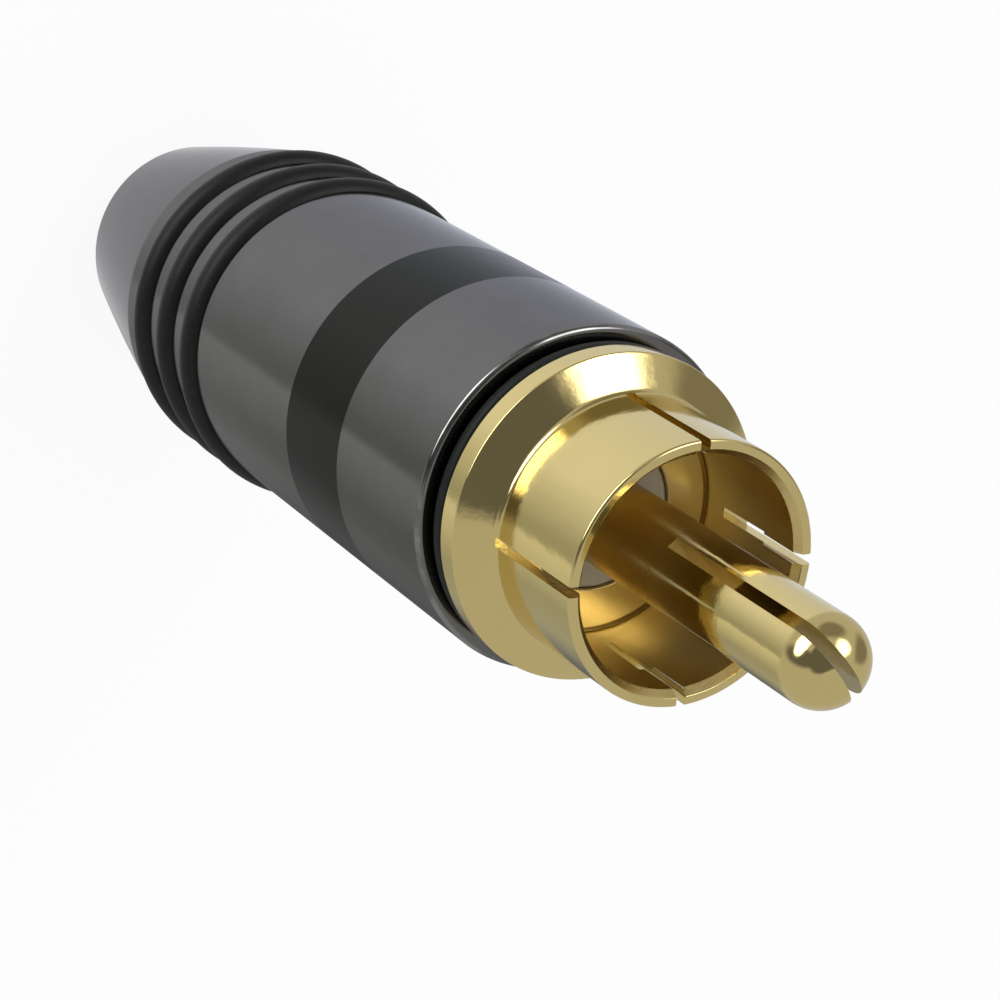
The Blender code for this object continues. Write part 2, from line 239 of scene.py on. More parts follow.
class Net:
    """A node tree under construction."""

    def __init__(self, tree):
        self.tree = tree
        tree.nodes.clear()

    def node(self, kind, settings=None, values=None, output=0):
        """Add a node: its settings first, then a value or a link for each socket. Returns one output."""
        made = self.tree.nodes.new(kind)
        for key, value in (settings or {}).items():
            if key == "stops":
                set_stops(made.color_ramp, value)
            else:
                setattr(made, key, value)
        for key, value in (values or {}).items():
            sockets = [s for s in made.inputs if s.enabled]
            socket = sockets[key] if isinstance(key, int) else next(s for s in sockets if s.name == key)
            self.feed(socket, value)
        outputs = [s for s in made.outputs if s.enabled]
        if not outputs:
            return made
        found = outputs[output] if isinstance(output, int) else next(s for s in outputs if s.name == output)
        return Flow(self, found)

    def feed(self, socket, value):
        """Set a socket, or link what flows into it."""
        if isinstance(value, Flow):
            self.tree.links.new(value.socket, socket)
        else:
            socket.default_value = value

    def math(self, operation, *values):
        return self.node("ShaderNodeMath", {"operation": operation}, dict(enumerate(values)))

    def fade(self, value, start, end):
        """A soft step: 0 where the value is at its start or before, 1 from its end on."""
        values = {"Value": value, "From Min": start, "From Max": end}
        return self.node("ShaderNodeMapRange", {"interpolation_type": "SMOOTHSTEP"}, values)

    def blend(self, factor, low, high):
        """Mix two colours."""
        return self.node("ShaderNodeMix", {"data_type": "RGBA"}, {"Factor": factor, "A": low, "B": high})

    def vector(self, x=0.0, y=0.0, z=0.0):
        return self.node("ShaderNodeCombineXYZ", None, {"X": x, "Y": y, "Z": z})

    def parts(self, vector):
        """The three numbers of a vector."""
        first = self.node("ShaderNodeSeparateXYZ", None, {0: vector})
        return [Flow(self, socket) for socket in first.socket.node.outputs]


def set_stops(ramp, stops):
    """Give a colour ramp its stops: (position, colour) pairs."""
    while len(ramp.elements) < len(stops):
        ramp.elements.new(0.5)
    for element, (position, colour) in zip(ramp.elements, stops):
        element.position = position
        element.color = (*colour, 1.0)


# Materials


class Finish(Net):
    """A material's nodes, with the plug's own coordinates in millimetres."""

    def __init__(self, name):
        self.material = bpy.data.materials.new(name)
        self.material.use_nodes = True
        super().__init__(self.material.node_tree)
        place = self.node("ShaderNodeTexCoord", output="Object")
        self.x, self.y, self.z = (part * (1 / MM) for part in self.parts(place))
        self.reach = self.math("SQRT", self.x * self.x + self.y * self.y)
        self.around = self.math("ARCTAN2", self.y, self.x)

    def noise(self, scale, detail=2.0, stretch=1.0, roughness=0.5):
        """Noise over the piece. The scale counts per millimetre; a stretch below 1 draws it out upwards."""
        spot = self.vector(self.x, self.y, self.z * stretch)
        values = {"Vector": spot, "Scale": scale, "Detail": detail, "Roughness": roughness}
        return self.node("ShaderNodeTexNoise", None, values)

    def turning(self, scale):
        """Fine marks that run round the axis, as a lathe leaves them."""
        spot = self.vector(self.reach, self.around * 0.05, self.z)
        return self.node("ShaderNodeTexNoise", None, {"Vector": spot, "Scale": scale, "Detail": 2.0})

    def shade(self, settings, normal=None):
        """Finish the material with a Principled shader."""
        made = self.tree.nodes.new("ShaderNodeBsdfPrincipled")
        for key, value in settings.items():
            self.feed(made.inputs[key], value)
        if normal:
            self.feed(made.inputs["Normal"], normal)
        out = self.tree.nodes.new("ShaderNodeOutputMaterial")
        self.tree.links.new(made.outputs[0], out.inputs[0])
        return self.material

    def bump(self, height, depth, normal=None):
        """Bump of a real depth in metres."""
        values = {"Height": height, "Distance": depth, "Strength": 1.0}
        if normal:
            values["Normal"] = normal
        return self.node("ShaderNodeBump", None, values)


def gold_plate():
    """Pale gold plate over turned brass, with faint lathe marks and a few handling smudges."""
    f = Finish("gold_plate")
    tone = f.blend(f.noise(0.35, 3.0), (0.71, 0.575, 0.245, 1), (0.745, 0.61, 0.28, 1))
    smudge = f.noise(0.8, 4.0, roughness=0.6)

    # Inside the mouth, and on the pin up to where it leaves the mouth, the plate is made rougher and its
    # colour darker further in: the darker colour is painted shade in the hollow.
    mouth_shade_and_dullness = (f.reach < (relief_radius + 0.02 * MM) / MM) * (f.z > (cavity_floor - 0.1 * MM) / MM)
    mouth_shade_and_dullness = mouth_shade_and_dullness * f.fade(f.z, (rim + 2.6 * MM) / MM, (rim - 1.2 * MM) / MM)
    tone = f.blend(mouth_shade_and_dullness, tone, (0.70, 0.55, 0.245, 1))
    rough = 0.06 + smudge * 0.08 + mouth_shade_and_dullness * 0.20
    waves = f.bump(f.noise(0.9, 2.0), 0.012 * MM)
    ripples = f.bump(f.noise(2.6, 3.0), 0.0035 * MM, normal=waves)
    marks = f.bump(f.turning(14.0), 0.0008 * MM, normal=ripples)
    grain = f.bump(f.noise(7.0, 3.0), 0.0008 * MM, normal=marks)
    return f.shade({"Base Color": tone, "Metallic": 1.0, "Roughness": rough}, grain)


def black_nickel():
    """Black nickel plate with a printed dark band round the barrel."""
    f = Finish("black_nickel")
    tone = f.blend(f.noise(0.5, 4.0, roughness=0.65), (0.148, 0.145, 0.139, 1), (0.182, 0.183, 0.186, 1))
    smudge = f.noise(1.1, 4.0, roughness=0.6)
    outside = f.reach > (barrel_radius - 0.1 * MM) / MM
    band = (f.z > BAND_BOTTOM / MM) * (f.z < BAND_TOP / MM) * outside
    colour = f.blend(band, tone, (0.029, 0.031, 0.026, 1))

    # Along the lip's rounded edge the plate is lighter in broken places: partly rubbed plate, partly a
    # painted highlight.
    lip_start, lip_end = (barrel_top - BARREL_LIP) / MM, barrel_top / MM
    edge = f.fade(f.z, lip_start - 0.02, lip_start + 0.06) * f.fade(f.z, lip_end, lip_end - 0.04)
    edge = edge * (f.reach > (barrel_radius - BARREL_LIP) / MM)
    rubbed_and_highlight = edge * f.fade(f.noise(0.9, 3.0), 0.35, 0.6)
    colour = f.blend(rubbed_and_highlight, colour, (0.28, 0.28, 0.275, 1))
    rough = 0.07 + smudge * 0.08 + band * 0.12
    peel = f.bump(f.noise(2.2, 2.0), 0.0012 * MM)
    print_edge = f.bump(band, 0.004 * MM, normal=peel)
    values = {"Base Color": colour, "Metallic": 1.0, "Roughness": rough,
              "Specular Tint": (0.7, 0.7, 0.72, 1)}
    return f.shade(values, print_edge)


def rubber(name, tone, sheen):
    """Black rubber with a soft sheen and specks of dust."""
    f = Finish(name)
    specks = f.noise(7.0, 2.0) > 0.7
    colour = f.blend(specks * 0.4, (tone, tone * 1.13, tone * 0.97, 1), (0.04, 0.042, 0.038, 1))
    rough = 0.38 + f.noise(1.5, 3.0) * 0.16
    skin = f.bump(f.noise(12.0, 3.0), 0.004 * MM)
    return f.shade({"Base Color": colour, "Roughness": rough, "Specular IOR Level": sheen}, skin)


def insulation():
    """Off-white nylon, turned to a soft matte."""
    f = Finish("insulation")
    colour = f.blend(f.noise(1.4, 3.0), (0.61, 0.55, 0.42, 1), (0.70, 0.64, 0.51, 1))
    rings = f.bump(f.turning(8.0), 0.004 * MM)
    values = {"Base Color": colour, "Roughness": 0.42 + f.noise(3.0) * 0.12, "Subsurface Weight": 0.1,
              "Subsurface Scale": 0.4 * MM}
    return f.shade(values, rings)


def liner_film():
    """Plain tan tube."""
    f = Finish("liner_film")
    fibres = f.noise(5.0, 3.0, stretch=0.15)
    colour = f.blend(fibres, (0.46, 0.41, 0.32, 1), (0.58, 0.53, 0.43, 1))
    return f.shade({"Base Color": colour, "Roughness": 0.55 + fibres * 0.15}, f.bump(fibres, 0.01 * MM))


# Outlines, as points of (radius, height)


def rounded(corners, closed=False, steps=6):
    """Replace each corner (radius, height, fillet) by its fillet's arc, with a holding point beside it."""
    points = []
    count = len(corners)
    for i, (r, z, fillet) in enumerate(corners):
        here = Vector((r, z))
        if not fillet or (not closed and i in (0, count - 1)):
            points.append((r, z))
            continue
        back = (Vector(corners[i - 1][:2]) - here).normalized()
        ahead = (Vector(corners[(i + 1) % count][:2]) - here).normalized()
        half = back.angle(ahead) / 2
        run = fillet / math.tan(half)
        centre = here + (back + ahead).normalized() * (fillet / math.sin(half))
        start = here + back * run - centre
        turn = math.pi - 2 * half
        if start.x * ahead.y - start.y * ahead.x < 0:
            turn = -turn
        points.append(tuple(here + back * (run + HOLD)))
        for step in range(steps + 1):
            a = turn * step / steps
            spoke = Vector((start.x * math.cos(a) - start.y * math.sin(a),
                            start.x * math.sin(a) + start.y * math.cos(a)))
            points.append(tuple(centre + spoke))
        points.append(tuple(here + ahead * (run + HOLD)))
    return points


def split(section, height):
    """Cut a closed section at a height into the loop below and the loop above."""
    below, above = [], []
    for (r, z), (next_r, next_z) in zip(section, section[1:] + section[:1]):
        (above if z > height else below).append((r, z))
        if (z > height) != (next_z > height):
            crossing = (r + (next_r - r) * (height - z) / (next_z - z), height)
            below.append(crossing)
            above.append(crossing)
    return below, above


def arc(centre_r, centre_z, radius, start, end, steps):
    """Points of an arc between two angles in degrees, 0 outward and 90 up."""
    angles = [math.radians(start + (end - start) * i / steps) for i in range(steps + 1)]
    return [(centre_r + radius * math.cos(a), centre_z + radius * math.sin(a)) for a in angles]


def barrel_section():
    """A tapered tail, three ring grooves, a plain body, a rounded lip and a stepped bore."""
    drop = barrel_radius - TAIL_RADIUS
    slope = math.atan((drop + 4 * TAIL_BULGE) / TAIL_LENGTH)
    centre = TAIL_RADIUS + TAIL_ROUND * (math.tan(slope) - 1 / math.cos(slope))
    groove_floor = ring_radius - ring_section / 2 - RING_FIT
    thread_bottom = barrel_top - FEMALE_THREAD_LENGTH
    runout_bottom = thread_bottom - RUNOUT_LENGTH
    runout_radius = BARREL_BORE_RADIUS + RUNOUT_DEPTH
    hole_top = CABLE_HOLE_LENGTH + REAR_BORE_RADIUS - CABLE_HOLE_RADIUS

    points = [(CABLE_HOLE_RADIUS + CABLE_HOLE_FLARE, tail)]
    points += arc(centre, tail + TAIL_ROUND, TAIL_ROUND, -90, -math.degrees(slope), steps=8)
    for i in range(1, TAIL_STEPS):
        share = i / TAIL_STEPS
        bulge = 4 * TAIL_BULGE * share * (1 - share)
        points.append((TAIL_RADIUS + drop * share + bulge, TAIL_LENGTH * share))
    corners = [(barrel_radius, TAIL_LENGTH, TAPER_BLEND)]
    for i in range(RINGS):
        bottom = ring_bottom + i * ring_pitch - RING_FIT
        top = bottom + ring_section + 2 * RING_FIT
        corners += [(barrel_radius, bottom, FINE_EDGE), (groove_floor, bottom, 0), (groove_floor, top, 0),
                    (barrel_radius, top, FINE_EDGE)]
    corners += [(barrel_radius, barrel_top, BARREL_LIP), (BARREL_BORE_RADIUS, barrel_top, BORE_LIP),
                (BARREL_BORE_RADIUS, thread_bottom, 0), (runout_radius, thread_bottom, 0),
                (runout_radius, runout_bottom + RUNOUT_DEPTH, 0), (LINER_BORE_RADIUS, runout_bottom, 0),
                (LINER_BORE_RADIUS, LINER_SEAT, 0), (REAR_BORE_RADIUS + CHAMFER, LINER_SEAT, 0),
                (REAR_BORE_RADIUS, LINER_SEAT - 2 * CHAMFER, 0), (REAR_BORE_RADIUS, hole_top, CHAMFER),
                (CABLE_HOLE_RADIUS, CABLE_HOLE_LENGTH, CHAMFER),
                (CABLE_HOLE_RADIUS, CABLE_HOLE_FLARE, SMALL_CHAMFER),
                (CABLE_HOLE_RADIUS + CABLE_HOLE_FLARE, tail, 0)]
    return points + rounded([(*points[-1], 0)] + corners)[1:-1]


def contact_section():
    """Threaded stub, neck, collar, cone, sleeve and the floor of the mouth."""
    neck_radius = root_radius - SMALL_CHAMFER
    land_bottom = rim - CONTACT_LAND
    return rounded([
        (LIP_RADIUS, stub_bottom, SMALL_CHAMFER), (root_radius - CHAMFER, stub_bottom, 0),
        (root_radius, stub_bottom + CHAMFER, 0), (root_radius, neck_bottom, 0),
        (neck_radius, neck_bottom + SMALL_CHAMFER, 0), (neck_radius, collar_bottom, 0),
        (collar_radius, collar_bottom, COLLAR_BACK_ROUND), (collar_radius, collar_top, COLLAR_FRONT_ROUND),
        (sleeve_radius, cone_top, FOOT_FILLET), (sleeve_radius - SLEEVE_PINCH, rim, RIM_ROUND),
        (MOUTH_RADIUS + LEAD_IN_WIDTH - SLEEVE_PINCH, rim, LEAD_IN_ROUND),
        (MOUTH_RADIUS - SLEEVE_PINCH, rim - LEAD_IN_DEPTH, FINE_EDGE), (MOUTH_RADIUS, land_bottom, FINE_EDGE),
        (relief_radius, land_bottom - BORE_RELIEF, FINE_EDGE), (relief_radius, cavity_floor, FLOOR_FILLET),
        (NOSE_HOLE_RADIUS, cavity_floor, EASED_EDGE), (NOSE_HOLE_RADIUS, shoulder, 0),
        (STUB_BORE_RADIUS, shoulder, 0), (STUB_BORE_RADIUS, lip_top, 0), (LIP_RADIUS, lip_top, SMALL_CHAMFER),
    ], closed=True)


def insulator_section():
    """The bush round the pin: flange, nose and bore."""
    flange_top = insulator_bottom + INSULATOR_FLANGE
    return rounded([
        (INSULATOR_BORE_RADIUS, insulator_bottom, 0), (insulator_radius, insulator_bottom, EASED_EDGE),
        (insulator_radius, flange_top, EASED_EDGE), (INSULATOR_NOSE_RADIUS, flange_top, 0),
        (INSULATOR_NOSE_RADIUS, insulator_top, NOSE_ROUND),
        (INSULATOR_BORE_RADIUS, insulator_top, NOSE_BORE_ROUND),
    ], closed=True)


def gasket_section():
    """A flat rubber ring with a softly rounded outside."""
    return rounded([
        (GASKET_BORE_RADIUS, gasket_bottom, EASED_EDGE), (gasket_radius, gasket_bottom, GASKET_ROUND),
        (gasket_radius, gasket_top, GASKET_ROUND), (GASKET_BORE_RADIUS, gasket_top, EASED_EDGE),
    ], closed=True)


def pin_section():
    """The pin below its slit, from the cup's floor round the cup, neck and flange to the shank's top."""
    cup_bore = CUP_RADIUS - CUP_WALL
    cup_top = cup_bottom + CUP_LENGTH
    flange_top = insulator_bottom - SEAT_GAP
    flange_bottom = flange_top - PIN_FLANGE_THICKNESS
    return rounded([
        (0, cup_bottom + CUP_DEPTH + cup_bore / 2, 0), (cup_bore, cup_bottom + CUP_DEPTH, 0),
        (cup_bore, cup_bottom, FINE_EDGE), (CUP_RADIUS, cup_bottom, CUP_RIM_ROUND),
        (CUP_RADIUS, cup_top - CUP_RADIUS + PIN_NECK_RADIUS, EASED_EDGE), (PIN_NECK_RADIUS, cup_top, 0),
        (PIN_NECK_RADIUS, flange_bottom, 0), (pin_flange_radius, flange_bottom, EASED_EDGE),
        (pin_flange_radius, flange_top, EASED_EDGE), (PIN_RADIUS, flange_top, 0), (PIN_RADIUS, rim, 0),
        (0, rim, 0),
    ])


# Geometry trees


class Shaper(Net):
    """A geometry tree with named inputs."""

    def __init__(self, name, **inputs):
        tree = bpy.data.node_groups.new(name, "GeometryNodeTree")
        super().__init__(tree)
        tree.interface.new_socket("Geometry", in_out="INPUT", socket_type="NodeSocketGeometry")
        for label, kind in inputs.items():
            tree.interface.new_socket(label, in_out="INPUT", socket_type="NodeSocket" + kind)
        tree.interface.new_socket("Geometry", in_out="OUTPUT", socket_type="NodeSocketGeometry")
        self.source = tree.nodes.new("NodeGroupInput")

    def given(self, label="Geometry"):
        return Flow(self, self.source.outputs[label])

    def end(self, geometry):
        """Realize what was made, smooth it, give it its material and hand it out."""
        real = self.node("GeometryNodeRealizeInstances", None, {0: geometry})
        smooth = self.node("GeometryNodeSetShadeSmooth", {"domain": "FACE"}, {0: real})
        dressed = self.node("GeometryNodeSetMaterial", None, {0: smooth, "Material": self.given("Material")})
        out = self.tree.nodes.new("NodeGroupOutput")
        self.feed(out.inputs[0], dressed)
        return self.tree

    def round_path(self, radius, steps):
        """A circle about the axis whose profiles stand radially."""
        circle = self.node("GeometryNodeCurvePrimitiveCircle", None, {"Resolution": steps, "Radius": radius})
        return self.node("GeometryNodeSetCurveNormal", {"mode": "Z_UP"}, {0: circle})

    def profile(self, radius):
        """The given outline, moved to where a path of that radius carries it."""
        outline = self.node("GeometryNodeMeshToCurve", None, {0: self.given()})
        r, _, z = self.parts(self.node("GeometryNodeInputPosition"))
        spot = self.vector(r - radius, -z)
        return self.node("GeometryNodeSetPosition", None, {0: outline, "Position": spot})


def lathe_tree():
    """Turn the given outline about the axis."""
    t = Shaper("turn_on_the_lathe", Steps="Int", Radius="Float", Material="Material")
    path = t.round_path(t.given("Radius"), t.given("Steps"))
    body = t.node("GeometryNodeCurveToMesh", None, {0: path, 1: t.profile(t.given("Radius"))})
    return t.end(t.node("GeometryNodeMergeByDistance", None, {0: body, "Distance": MERGE}))


def finger_tree():
    """Bend the given wall section round the axis into fingers with parallel saw cuts between them."""
    t = Shaper("sawn_fingers", Count="Int", Steps="Int", Radius="Float", Saw="Float", Angle="Float",
               Material="Material")
    sweep = t.math("DIVIDE", math.tau, t.given("Count"))
    arc_values = {"Resolution": t.given("Steps"), "Radius": t.given("Radius"), "Start Angle": -(sweep / 2),
                  "Sweep Angle": sweep}
    path = t.node("GeometryNodeCurveArc", None, arc_values)
    path = t.node("GeometryNodeSetCurveNormal", {"mode": "Z_UP"}, {0: path})
    wall = t.node("GeometryNodeCurveToMesh", None,
                  {0: path, 1: t.profile(t.given("Radius")), "Fill Caps": True})

    # Each point turns back until the finger's flank lies half a saw's width beside the cut's middle.
    x, y, z = t.parts(t.node("GeometryNodeInputPosition"))
    reach = t.math("SQRT", x * x + y * y)
    share = 1 - t.math("ARCSINE", t.given("Saw") / (reach * 2)) / (sweep / 2)
    angle = t.math("ARCTAN2", y, x) * share
    spot = t.vector(reach * t.math("COSINE", angle), reach * t.math("SINE", angle), z)
    finger = t.node("GeometryNodeSetPosition", None, {0: wall, "Position": spot})

    points = t.node("GeometryNodeMeshLine", None, {"Count": t.given("Count"), "Offset": (0, 0, 0)})
    turn = t.vector(0.0, 0.0, t.node("GeometryNodeInputIndex") * sweep + t.given("Angle"))
    return t.end(t.node("GeometryNodeInstanceOnPoints", None,
                        {"Points": points, "Instance": finger, "Rotation": turn}))


def ring_tree():
    """A row of round-section rings along the axis."""
    t = Shaper("grip_rings", Count="Int", Pitch="Float", Height="Float", Radius="Float", Section="Float",
               Steps="Int", Material="Material")
    section = t.node("GeometryNodeCurvePrimitiveCircle", None,
                     {"Resolution": RING_SECTION_STEPS, "Radius": t.given("Section") / 2})
    ring = t.node("GeometryNodeCurveToMesh", None,
                  {0: t.round_path(t.given("Radius"), t.given("Steps")), 1: section})
    places = {"Count": t.given("Count"), "Start Location": t.vector(z=t.given("Height")),
              "Offset": t.vector(z=t.given("Pitch"))}
    row = t.node("GeometryNodeMeshLine", None, places)
    return t.end(t.node("GeometryNodeInstanceOnPoints", None, {"Points": row, "Instance": ring}))


def thread_tree():
    """A right-hand thread's ridge on a cylinder, which fades in and out at its ends."""
    t = Shaper("thread_ridge", Turns="Float", Pitch="Float", Height="Float", Radius="Float", Depth="Float",
               Steps="Int", Material="Material")
    helix = t.node("GeometryNodeCurveSpiral", None,
                   {"Resolution": t.given("Steps"), "Rotations": t.given("Turns"),
                    "Start Radius": t.given("Radius"), "End Radius": t.given("Radius"),
                    "Height": t.given("Pitch") * t.given("Turns"), "Reverse": True})
    helix = t.node("GeometryNodeSetCurveNormal", {"mode": "Z_UP"}, {0: helix})
    along = t.node("GeometryNodeSplineParameter") * t.given("Turns")
    ends = t.math("MINIMUM", along, t.given("Turns") - along)
    helix = t.node("GeometryNodeSetCurveRadius", None, {0: helix, "Radius": t.math("MINIMUM", ends, 1.0)})
    ridge = t.node("GeometryNodeCurvePrimitiveQuadrilateral", {"mode": "TRAPEZOID"},
                   {"Height": 1.0, "Bottom Width": t.given("Pitch") * THREAD_FOOT,
                    "Top Width": t.given("Pitch") * THREAD_CREST, "Offset": 0.0})

    # The ridge's foot sinks a little into the cylinder. A negative depth points inward.
    x, y, _ = t.parts(t.node("GeometryNodeInputPosition"))
    spot = t.vector((y + (0.5 - THREAD_SUNK)) * t.given("Depth"), x)
    ridge = t.node("GeometryNodeSetPosition", None, {0: ridge, "Position": spot})
    solid = t.node("GeometryNodeCurveToMesh", None,
                   {0: helix, 1: ridge, "Scale": t.node("GeometryNodeInputRadius"), "Fill Caps": True})
    return t.end(t.node("GeometryNodeTransform", None,
                        {0: solid, "Translation": t.vector(z=t.given("Height"))}))


# Making pieces


def finish_mesh(mesh):
    """Merge doubles, point the faces outward and crease the sharp edges."""
    bm = bmesh.new()
    bm.from_mesh(mesh)
    bmesh.ops.remove_doubles(bm, verts=bm.verts, dist=MERGE)
    bmesh.ops.recalc_face_normals(bm, faces=bm.faces)
    bm.to_mesh(mesh)
    bm.free()
    mesh.shade_smooth()
    mesh.set_sharp_from_angle(angle=math.radians(CREASE))


def plain(obj):
    """Replace an object's mesh by what its modifiers make of it."""
    bpy.context.view_layer.update()
    mesh = bpy.data.meshes.new_from_object(obj.evaluated_get(bpy.context.evaluated_depsgraph_get()))
    obj.modifiers.clear()
    obj.data = mesh
    mesh.name = obj.name


def new_piece(name, mesh):
    made = bpy.data.objects.new(name, mesh)
    bpy.context.scene.collection.objects.link(made)
    return made


def shaped(name, tree, start=None, **inputs):
    """A piece that a geometry tree makes, from a mesh where it needs one."""
    obj = new_piece(name, start or bpy.data.meshes.new(name))
    modifier = obj.modifiers.new(tree.name, "NODES")
    modifier.node_group = tree
    for item in tree.interface.items_tree:
        if item.in_out == "INPUT" and item.name in inputs:
            modifier[item.identifier] = inputs[item.name]
    plain(obj)
    finish_mesh(obj.data)
    return obj


def outline_mesh(name, points, closed=True):
    """An outline in the XZ plane, as edges."""
    links = [(i, i + 1) for i in range(len(points) - 1)]
    if closed:
        links.append((len(points) - 1, 0))
    mesh = bpy.data.meshes.new(name)
    mesh.from_pydata([(r, 0, z) for r, z in points], links, [])
    return mesh


def turned(name, points, material, closed=True, steps=FINE_STEPS):
    """A piece turned on the lathe."""
    return shaped(name, lathe, outline_mesh(name, points, closed), Steps=steps, Radius=barrel_radius,
                  Material=material)


def ease_edges(obj, width, chosen):
    """Bevel the edges that a test picks."""
    bm = bmesh.new()
    bm.from_mesh(obj.data)
    edges = [e for e in bm.edges if chosen(e)]
    bmesh.ops.bevel(bm, geom=edges, offset=width, offset_type="OFFSET", segments=2, profile=0.5,
                    affect="EDGES")
    bm.to_mesh(obj.data)
    bm.free()


def pin_nose(material):
    """The two springs of the slit pin, each half a round nose with a flat where the saw went."""
    bm = bmesh.new()
    gap = PIN_SLIT_WIDTH / 2
    centre = pin_tip - PIN_RADIUS
    stations = [(PIN_RADIUS, rim), (PIN_RADIUS, centre - HOLD)]
    rises = [math.acos(gap / PIN_RADIUS) * i / NOSE_STEPS for i in range(NOSE_STEPS + 1)]
    stations += [(PIN_RADIUS * math.cos(rise), centre + PIN_RADIUS * math.sin(rise)) for rise in rises]
    columns = SMALL_STEPS // 2
    for side in (0, 1):
        turn = PIN_SLIT_ANGLE + side * math.pi
        rows = []
        for radius, z in stations:
            half = math.acos(min(1.0, gap / radius))
            angles = [turn + math.pi / 2 + half * (2 * j / columns - 1) for j in range(columns + 1)]
            rows.append([bm.verts.new((radius * math.cos(a), radius * math.sin(a), z)) for a in angles])
        for low, high in zip(rows, rows[1:]):
            for j in range(columns):
                bm.faces.new((low[j], low[j + 1], high[j + 1], high[j]))
            bm.faces.new((low[-1], low[0], high[0], high[-1]))
        bm.faces.new(rows[0][::-1])
    mesh = bpy.data.meshes.new("pin_nose")
    bm.to_mesh(mesh)
    bm.free()
    mesh.materials.append(material)
    finish_mesh(mesh)
    return new_piece("pin_nose", mesh)


def carve(obj, low, high):
    """Cut a box out of a piece."""
    bm = bmesh.new()
    bmesh.ops.create_cube(bm, size=1.0)
    for vert in bm.verts:
        vert.co = [a + (b - a) * (c + 0.5) for a, b, c in zip(low, high, vert.co)]
    mesh = bpy.data.meshes.new("cutter")
    bm.to_mesh(mesh)
    bm.free()
    cutter = new_piece("cutter", mesh)
    cut = obj.modifiers.new("cut", "BOOLEAN")
    cut.operation = "DIFFERENCE"
    cut.object = cutter
    plain(obj)
    bpy.data.objects.remove(cutter)
    obj.data.set_sharp_from_angle(angle=math.radians(CREASE))


def belongs(piece, body, slot, *nodes):
    """Let a piece ride on its body, in place of the CAD nodes it stands for."""
    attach(piece, body)
    if nodes:
        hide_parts(*nodes)


def build_barrel(nickel, black):
    """The shell, the thread in its mouth and the three grip rings."""
    barrel = turned("plug_barrel", barrel_section(), nickel)
    belongs(barrel, "barrel", "black_nickel", "barrel")
    turns = math.floor(FEMALE_THREAD_LENGTH / PITCH) - 1
    ridge = shaped("barrel_thread", thread, Turns=float(turns), Pitch=PITCH, Radius=BARREL_BORE_RADIUS,
                   Depth=-FEMALE_DEPTH, Height=barrel_top - (turns + LIP_SPARE) * PITCH, Steps=THREAD_STEPS,
                   Material=nickel)
    belongs(ridge, "barrel", "black_nickel")
    rings = shaped("grip_rings", ring_tree(), Count=RINGS, Pitch=ring_pitch,
                   Height=(ring_bottom + ring_top) / 2, Radius=ring_radius, Section=ring_section,
                   Steps=FINE_STEPS, Material=black)
    belongs(rings, "barrel", "rubber", "rear_ring", "middle_ring", "front_ring")


def build_contact(gold):
    """The stub with its thread, the collar and cone, and the sleeve's fingers on them."""
    below, above = split(contact_section(), cone_top)
    base = turned("contact_base", below, gold)
    belongs(base, "core", "gold_plate", "ground_contact")

    sweep = math.tau / FINGERS
    fingers = shaped("contact_fingers", finger_tree(), outline_mesh("finger", above), Count=FINGERS,
                     Steps=FINE_STEPS // FINGERS, Radius=MOUTH_RADIUS, Saw=SAW_WIDTH,
                     Angle=SAW_ANGLE + sweep / 2, Material=gold)

    def on_flank(vert):
        """True for a point on a saw cut's flank."""
        turn = (math.atan2(vert.co.y, vert.co.x) - SAW_ANGLE) % sweep
        beside = math.hypot(vert.co.x, vert.co.y) * abs(math.sin(min(turn, sweep - turn)))
        return beside < SAW_WIDTH / 2 + FLANK_SLACK

    def sawn(edge):
        """True for a flank's sharp edge above the cone's foot."""
        sharp = len(edge.link_faces) == 2 and edge.calc_face_angle(0) > math.radians(60)
        higher = max(v.co.z for v in edge.verts) > cone_top + FLANK_SLACK
        return sharp and higher and all(on_flank(v) for v in edge.verts)

    ease_edges(fingers, SAW_BURR, sawn)
    finish_mesh(fingers.data)
    belongs(fingers, "core", "gold_plate")

    turns = math.floor((neck_bottom - stub_bottom) / PITCH - STUB_SPARE)
    ridge = shaped("stub_thread", thread, Turns=float(turns), Pitch=PITCH, Radius=root_radius,
                   Depth=THREAD_DEPTH, Height=stub_bottom + STUB_START * PITCH, Steps=THREAD_STEPS,
                   Material=gold)
    belongs(ridge, "core", "gold_plate")


def build_pin(gold):
    """The pin's two springs, and the shank, flange and solder cup that carry them."""
    shank = turned("pin_shank", pin_section(), gold, closed=False, steps=SMALL_STEPS)
    carve(shank, (-CUP_RADIUS * 2, CUP_WALL / 2, cup_bottom - CUP_WALL),
          (CUP_RADIUS * 2, CUP_RADIUS * 2, cup_bottom + CUP_SCOOP_LENGTH))
    belongs(shank, "core", "gold_plate", "centre_pin")
    belongs(pin_nose(gold), "core", "gold_plate")


